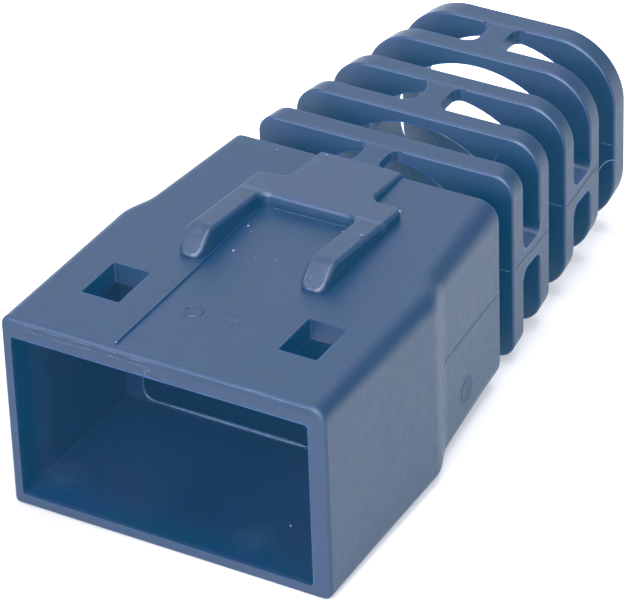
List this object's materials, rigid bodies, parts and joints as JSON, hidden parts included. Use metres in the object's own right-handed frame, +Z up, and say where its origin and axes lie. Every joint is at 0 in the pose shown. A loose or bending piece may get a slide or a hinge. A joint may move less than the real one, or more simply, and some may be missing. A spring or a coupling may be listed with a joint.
{
  "type": "modular plug strain relief boot",
  "caption": "Soft strain relief boot that slides over a modular network plug and its cable, with a latch guard, roof windows and a slotted tapering tail.",
  "frame": {"origin": "middle of the mouth's bottom outer edge, in the plane of the mouth face", "axes": "+X across the boot, +Y from the mouth towards the cable end, +Z up through the latch guard"},
  "size_m": [0.014, 0.0285, 0.0095],
  "materials": {
    "boot": "matte moulded, blue"
  },
  "bodies": {
    "root": {"boot": "boot"}
  },
  "joints": []
}
